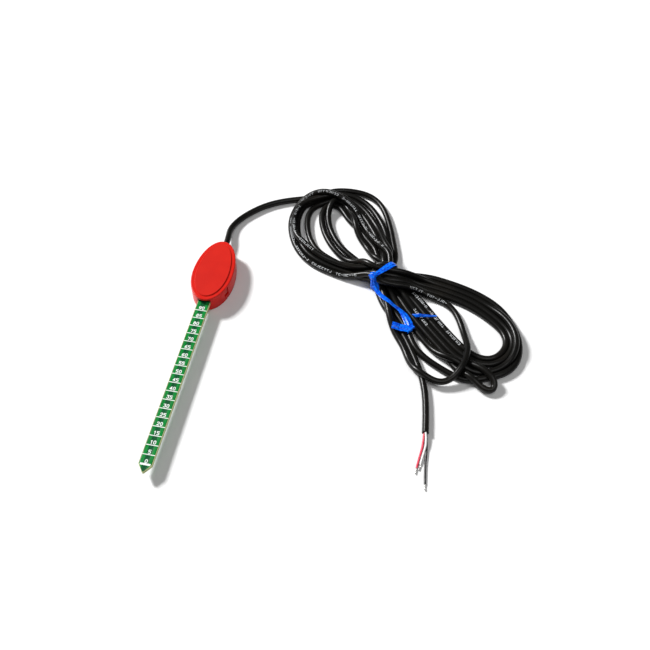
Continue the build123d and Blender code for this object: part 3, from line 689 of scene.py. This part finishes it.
def draped(plan, widths):
    """Centres and half vectors of a strip laid over the cable, from plan points and half widths in mm."""
    line = smoothed(np.c_[np.array(plan) * MM, np.array(widths) * MM])
    line, wide = line[:, :2], line[:, 2]
    ahead = np.gradient(line, axis=0)
    ahead /= np.linalg.norm(ahead, axis=1)[:, None]
    sides = np.stack([-ahead[:, 1], ahead[:, 0]], axis=1)
    height = np.array([
        max(cable_top(*(point + side * wide_here * probe)) for probe in DRAPE_PROBES) + DRAPE_CLEARANCE
        for point, side, wide_here in zip(line, sides, wide)
    ])
    for _ in range(DRAPE_ROUNDS):
        height[1:-1] = np.maximum(height[1:-1], (height[:-2] + height[2:]) / 2 - DRAPE_SAG)
    return np.c_[line, height], np.c_[sides * wide[:, None], np.zeros(len(line))]


def toward(vector, other):
    """The vector, turned round if it points away from another."""
    return -vector if vector @ other < 0 else vector


def add_long_tail():
    """The tie's long tail: it leaves the knot narrow, widens, and folds back over itself."""
    centres, halves = draped(LONG_TAIL_PLAN, LONG_TAIL_HALF_WIDTHS)
    lowest = centres[LEAVING_POINTS - 1, 2]
    centres[:LEAVING_POINTS, 2] = np.linspace(knot[2], lowest, LEAVING_POINTS)
    heading = centres[-1] - centres[-2]
    heading[2] = 0
    heading /= np.linalg.norm(heading)
    outward = heading - END_HEADING
    outward /= np.linalg.norm(outward)
    crease = toward(np.array([-outward[1], outward[0], 0.0]), halves[-1])
    corner = centres[-1] + heading * FOLD_AHEAD
    slanted = FOLD_HALF_WIDTH / abs(np.cross(heading, crease)[2])
    for turn in np.linspace(0, pi, FOLD_STEPS):
        rise = np.array([0, 0, FOLD_RADIUS * (1 - cos(turn))])
        centres = np.vstack([centres, corner + outward * FOLD_RADIUS * sin(turn) + rise])
        halves = np.vstack([halves, crease * slanted])
    level = centres[-1, 2]
    straight = toward(np.cross(END_HEADING, (0, 0, 1)), crease)
    for far in END_PLACES:
        place = corner + END_HEADING * far * MM
        on_cable = cable_top(place[0], place[1], END_PROBE) + END_CLEARANCE
        place[2] = max(level - END_DROP * far * MM, on_cable)
        centres = np.vstack([centres, place])
        halves = np.vstack([halves, straight * FOLD_HALF_WIDTH])
    add_strip(centres, halves, ridge=LONG_TAIL_RIDGE, cup=LONG_TAIL_CUP)


def add_short_tail():
    """The tie's short tail: a sliver that dives between the strands and shows again past them."""
    line = smoothed(np.array(SHORT_TAIL_PLAN) * MM)
    steps = np.arange(len(line))
    at_steps, heights = SHORT_TAIL_HEIGHTS
    centres = np.c_[line, np.interp(steps, at_steps, np.array(heights) * MM)]
    leans = np.interp(steps, *SHORT_TAIL_LEANS)
    widths = np.interp(steps, *SHORT_TAIL_HALF_WIDTHS) * MM
    ahead = np.gradient(line, axis=0)
    ahead /= np.linalg.norm(ahead, axis=1)[:, None]
    sides = np.c_[-ahead[:, 1], ahead[:, 0], np.zeros(len(line))]
    up = np.array([0, 0, 1])
    halves = [side * cos(t) * wide + up * sin(t) * wide for side, t, wide in zip(sides, leans, widths)]
    add_strip(centres, halves)


add_long_tail()
add_short_tail()
tie = mesh_piece("tie", tie_points, tie_faces, TIE_WITH_PAINTED_SHADE, smooth=False)
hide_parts("cable_tie")

# ------------------------------ print on the jacket: short generic marks
PRINT_RUNS = [  # lobe, pass in that lobe, and the shares of the pass at which the print starts and ends
    ("left", 3, 0.02, 0.97),
    ("left", 0, 0.22, 0.5),
    ("right", 3, 0.8, 0.99),
    ("right", 5, 0.06, 0.36),
    ("right", 4, 0.1, 0.22),
]
MARK_PITCH = 1.55 * MM
MARK_LIFT = 0.02 * MM
MARK_REACH = 0.36  # half of a mark's height, as an angle round the jacket
WORD_MARKS = 9  # every ninth mark is left out
WORD_GAP = 1.5  # pitches from the end of one word to the next
SEARCH_SPAN = 40  # points of the cable's line on each side of a guess
MARK_SHAPES = [  # bars of one mark: start and end along the cable, low and high edge across it, as shares
    [(0.0, 0.7, -1.0, -0.6), (0.0, 0.2, -1.0, 1.0)],
    [(0.0, 0.75, 0.6, 1.0), (0.3, 0.5, -1.0, 1.0)],
    [(0.0, 0.2, -1.0, 1.0), (0.5, 0.7, -1.0, 1.0)],
    [(0.0, 0.7, -0.2, 0.2)],
    [(0.0, 0.7, 0.6, 1.0), (0.0, 0.7, -1.0, -0.6), (0.5, 0.7, -1.0, 1.0)],
]
FACING = np.array([0.15, -0.55, 0.82])  # the side of the jacket that carries the print
print_points = []
print_faces = []


def line_index(side, turn, share):
    """Index on the cable's line of a share of one pass."""
    first, last = pass_runs[side, turn]
    step = (first + (last - first) * share) / STEP - LEFT_OUT_POINTS
    guess = int((len(LEAD_ROUTE) + step) * cable.data.resolution_u)
    place = hank[int(np.clip(step, 0, len(hank) - 1))] * MM
    low = max(0, guess - SEARCH_SPAN)
    window = cable_line[low:guess + SEARCH_SPAN]
    return low + int(np.argmin(np.linalg.norm(window - place, axis=1)))


def add_bar(points, tangents, start, end, low, high):
    """A patch on the jacket's surface between two places along a line and two angles across it."""
    first = len(print_points)
    run = np.r_[0, np.cumsum(np.linalg.norm(np.diff(points, axis=0), axis=1))]
    for s in np.linspace(start, end, 3):
        centre = np.array([np.interp(s, run, points[:, i]) for i in range(3)])
        ahead = np.array([np.interp(s, run, tangents[:, i]) for i in range(3)])
        ahead /= np.linalg.norm(ahead)
        up = FACING - (FACING @ ahead) * ahead
        up /= np.linalg.norm(up)
        side = np.cross(ahead, up)
        for angle in np.linspace(low, high, 4):
            outward = up * cos(angle) + side * sin(angle)
            print_points.append(centre + outward * (CABLE_RADIUS + MARK_LIFT))
    for i in range(2):
        for j in range(3):
            a = first + 4 * i + j
            print_faces.append((a, a + 1, a + 5, a + 4))


chance = np.random.default_rng(7)
for side_name, turn, begin, end_share in PRINT_RUNS:
    i, j = line_index(side_name, turn, begin), line_index(side_name, turn, end_share)
    stretch = cable_line[i:j]
    tangents = np.gradient(stretch, axis=0)
    length = float(np.linalg.norm(np.diff(stretch, axis=0), axis=1).sum())
    place = MARK_PITCH
    mark = 0
    while place < length - 2 * MARK_PITCH:
        mark += 1
        if mark % WORD_MARKS == 0:
            place += WORD_GAP * MARK_PITCH
            continue
        for start, end, low, high in MARK_SHAPES[chance.integers(len(MARK_SHAPES))]:
            along_line = place + start * MARK_PITCH, place + end * MARK_PITCH
            add_bar(stretch, tangents, *along_line, low * MARK_REACH, high * MARK_REACH)
        place += MARK_PITCH
marks = mesh_piece("jacket_print", print_points, print_faces, PRINT)

# ------------------------------ bare end: three cores with tinned strands
CORE_RADIUS = 0.5 * MM
WIRE_ROUTES = {
    "red": [
        (0.12055, -0.0717, 0.0013), (0.1209, -0.078, 0.0006), (0.1199, -0.086, 0.00052),
        (0.11954, -0.0906, 0.00052),
    ],
    "white": [
        (0.1211, -0.0717, 0.0023), (0.1224, -0.077, 0.0019), (0.1215, -0.084, 0.0006),
        (0.12096, -0.0885, 0.00052),
    ],
    "black": [
        (0.12165, -0.0717, 0.0013), (0.1229, -0.0795, 0.0006), (0.1232, -0.090, 0.00052),
        (0.1243, -0.098, 0.00052),
    ],
}
WIRE_COLOURS = {
    "red": ((0.62, 0.02, 0.055), (0.80, 0.045, 0.10)),
    "white": ((0.72, 0.73, 0.72), (0.85, 0.86, 0.85)),
    "black": ((0.008, 0.008, 0.008), (0.018, 0.017, 0.016)),
}
TINNED_LENGTH = 3.0 * MM
STRANDS = 7  # one in the middle and six round it
STRAND_RADIUS = 0.115 * MM
STRAND_LAY_RADIUS = 0.21 * MM
STRAND_TWIST = 5.0  # radians over the tinned length
STRAND_START = -0.05  # share of the tinned length, inside the insulation
STRAND_SPLAY = 0.35
STRAND_SPLAY_FROM = 0.7
STRAND_SHORTER = 0.03
TIN = plastic(
    "tin", (0.60, 0.60, 0.58), (0.82, 0.82, 0.80), (0.18, 0.38), patch=900.0, Metallic=1.0,
).material
strand_points = []
strand_faces = []
for colour, route in WIRE_ROUTES.items():
    core_look = plastic("core_" + colour, *WIRE_COLOURS[colour], (0.32, 0.48), patch=400.0).material
    curve_line("wire_" + colour, route, CORE_RADIUS, core_look, 12)
    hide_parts("end_core_" + colour)
    end = np.array(route[-1])
    ahead = end - np.array(route[-2])
    ahead /= np.linalg.norm(ahead)
    side = np.cross(ahead, (0, 0, 1))
    side /= np.linalg.norm(side)
    up = np.cross(side, ahead)
    for strand in range(STRANDS):
        lay_radius = 0.0 if strand == 0 else STRAND_LAY_RADIUS
        rings = []
        for share in np.linspace(STRAND_START, 1, 22):
            turn = 2 * pi * strand / (STRANDS - 1) + STRAND_TWIST * share
            spread = lay_radius * (1 + STRAND_SPLAY * max(0.0, share - STRAND_SPLAY_FROM))
            length = TINNED_LENGTH * share * (1 - STRAND_SHORTER * (strand % 3))
            centre = end + ahead * length + (side * cos(turn) + up * sin(turn)) * spread
            rings.append([
                centre + (side * cos(angle) + up * sin(angle)) * STRAND_RADIUS
                for angle in round_angles(8)
            ])
        strand_faces.extend(skin(rings, len(strand_points)))
        for ring in rings:
            strand_points.extend(ring)
strands = mesh_piece("tinned_strands", strand_points, strand_faces, TIN)
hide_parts("tinned_ends")

# ------------------------------ finishes of the CAD pieces
PANEL_EDGE = (9.1 * MM, 9.4 * MM)  # heights between which the lid's rim turns into its raised panel
STRIP_CENTRE_X = 2.0 * MM  # of a copper strip, from the board's middle
STRIP_EDGE_BLEND = (0.68 * MM, 0.82 * MM)  # distances from its centre line where its colour fades
WEAVE_SCALE = 700.0
WEAVE_DISTORTION = 1.5


def lid_finish():
    """Red lid: a smooth rim and a rougher raised panel inside it; the panel is painted slightly darker
    than the rim as painted shade.
    """
    shader = Shader("lid_red")
    panel = shader.remap(shader.axis("Z"), *PANEL_EDGE)
    patches = shader.remap(shader.noise(70.0), 0.3, 0.7)
    fine = shader.noise(1800.0, detail=5.0)
    grain = shader.remap(fine, 0.3, 0.7, 0.27, 0.38)
    rim = shader.mix(patches, (0.53, 0.009, 0.004), (0.59, 0.012, 0.006))
    # The rim's red made a little darker: painted shade on the raised panel, not a colour of its own.
    panel_painted_shade = shader.mix(patches, (0.51, 0.009, 0.004), (0.56, 0.012, 0.005))
    shader.sets(
        Base_Color=shader.mix(panel, rim, panel_painted_shade),
        Roughness=shader.math("ADD", grain, shader.math("MULTIPLY", panel, 0.06)),
        Specular_IOR_Level=0.22,
        Normal=shader.bump(fine, 0.000025),
    )
    return shader.material


def mask_finish():
    """Green lacquer: brighter over the two copper strips and at its edge, dark between them."""
    shader = Shader("mask_green")
    across_board = shader.math("ABSOLUTE", shader.axis("X"))
    from_strip = shader.math("ABSOLUTE", shader.math("SUBTRACT", across_board, STRIP_CENTRE_X))
    copper = shader.remap(from_strip, *STRIP_EDGE_BLEND, 1.0, 0.0)
    patches = shader.remap(shader.noise(120.0), 0.3, 0.7)
    weave = shader.noise(1400.0, detail=2.0, stretch=(1, 0.25, 1))
    dark = shader.mix(patches, (0.001, 0.065, 0.018), (0.002, 0.090, 0.026))
    light = shader.mix(patches, (0.002, 0.17, 0.025), (0.004, 0.22, 0.034))
    shader.sets(
        Base_Color=shader.mix(copper, dark, light),
        Roughness=shader.remap(weave, 0.3, 0.7, 0.22, 0.36),
        Normal=shader.bump(copper, 0.00002, under=shader.bump(weave, 0.000008)),
        Specular_IOR_Level=0.25,
    )
    return shader.material


def laminate_finish():
    """Pale glass laminate: a woven grid of lighter and darker threads."""
    shader = Shader("laminate")
    threads = shader.node("ShaderNodeTexWave", wave_type="BANDS", bands_direction="X")
    other = shader.node("ShaderNodeTexWave", wave_type="BANDS", bands_direction="Y")
    for wave in (threads, other):
        shader.put(wave.inputs["Vector"], shader.place)
        wave.inputs["Scale"].default_value = WEAVE_SCALE
        wave.inputs["Distortion"].default_value = WEAVE_DISTORTION
    weave = shader.math("MULTIPLY", threads.outputs["Fac"], other.outputs["Fac"])
    shader.sets(
        Base_Color=shader.mix(weave, (0.40, 0.44, 0.17), (0.62, 0.64, 0.34)),
        Roughness=shader.remap(weave, 0.0, 1.0, 0.42, 0.6),
        Normal=shader.bump(weave, 0.00001),
    )
    return shader.material


def dress(material, *names):
    """Give CAD pieces a finish."""
    for name in names:
        for place in nodes[name].material_slots:
            place.material = material


MASK = mask_finish()
EPOXY = plastic(
    "chip_epoxy", (0.012, 0.012, 0.013), (0.022, 0.022, 0.024), (0.45, 0.6), patch=500.0,
).material
TRAY = plastic(
    "tray_red", (0.60, 0.006, 0.003), (0.70, 0.009, 0.005), (0.3, 0.42), patch=90.0,
    Specular_IOR_Level=0.3,
).material
LID = lid_finish()
LAMINATE = laminate_finish()
COPPER = plastic("copper", (0.72, 0.30, 0.16), (0.86, 0.42, 0.26), (0.25, 0.45), Metallic=1.0).material
INK = plastic("ink_white", (0.70, 0.76, 0.70), (0.84, 0.88, 0.84), (0.45, 0.6), patch=1200.0).material
CERAMIC = plastic("ceramic", (0.36, 0.25, 0.15), (0.46, 0.33, 0.21), (0.4, 0.55), patch=700.0).material
FILM = plastic(
    "resistor_film", (0.02, 0.02, 0.03), (0.05, 0.05, 0.06), (0.3, 0.45), patch=700.0,
).material
RESIN = plastic(
    "resin_dark", (0.012, 0.007, 0.005), (0.035, 0.018, 0.011), (0.12, 0.3), patch=300.0, depth=0.00004,
).material
dress(TRAY, "housing_tray")
dress(LID, "housing_lid")
dress(LAMINATE, "board_core")
dress(MASK, "solder_mask_front", "solder_mask_back")
dress(COPPER, "electrode_strips")
dress(INK, "scale_lines", "scale_numerals")
dress(TIN, "solder_pads", "chip_leads", "component_terminals", "solder_joints")
dress(EPOXY, "oscillator_chip", "voltage_regulator", "rectifier_diode")
dress(CERAMIC, "capacitors")
dress(FILM, "resistors")
dress(JACKET, "cable_stub")
dress(RESIN, "potting")
for colour in WIRE_COLOURS:
    dress(bpy.data.materials["core_" + colour], "inner_core_" + colour)

# ------------------------------ floor and light
FLOOR_HALF = 3.0
floor_corners = [(x * FLOOR_HALF, y * FLOOR_HALF, 0) for x, y in ((-1, -1), (1, -1), (1, 1), (-1, 1))]
floor_mesh = bpy.data.meshes.new("floor")
floor_mesh.from_pydata(floor_corners, [], [(0, 1, 2, 3)])
floor = bpy.data.objects.new("floor", floor_mesh)
bpy.context.scene.collection.objects.link(floor)
FLOOR_WHITE = plastic("floor_white", (0.86, 0.86, 0.86), (0.88, 0.88, 0.88), (0.6, 0.7)).material
floor_mesh.materials.append(FLOOR_WHITE)

WORLD_STRENGTH = 0.11
LIT_PLACE = Vector((0.07, 0.0, 0.0))  # what both lights point at
LIGHTS = [  # name, place, sides and power
    ("key", (-1.85, 0.85, 1.65), (0.5, 0.5), 112.0),
    ("overhead", (0.5, -0.5, 1.7), (1.4, 1.0), 10.0),
]
world = bpy.data.worlds.new("world")
world.use_nodes = True
world.node_tree.nodes["Background"].inputs["Color"].default_value = (1, 1, 1, 1)
world.node_tree.nodes["Background"].inputs["Strength"].default_value = WORLD_STRENGTH
bpy.context.scene.world = world
bpy.context.scene.view_settings.view_transform = "Standard"

for name, place, size, power in LIGHTS:
    light_data = bpy.data.lights.new(name, "AREA")
    light_data.shape = "RECTANGLE"
    light_data.size, light_data.size_y = size
    light_data.energy = power
    light = bpy.data.objects.new(name, light_data)
    light.location = place
    light.rotation_euler = (Vector(place) - LIT_PLACE).to_track_quat("Z", "Y").to_euler()
    bpy.context.scene.collection.objects.link(light)
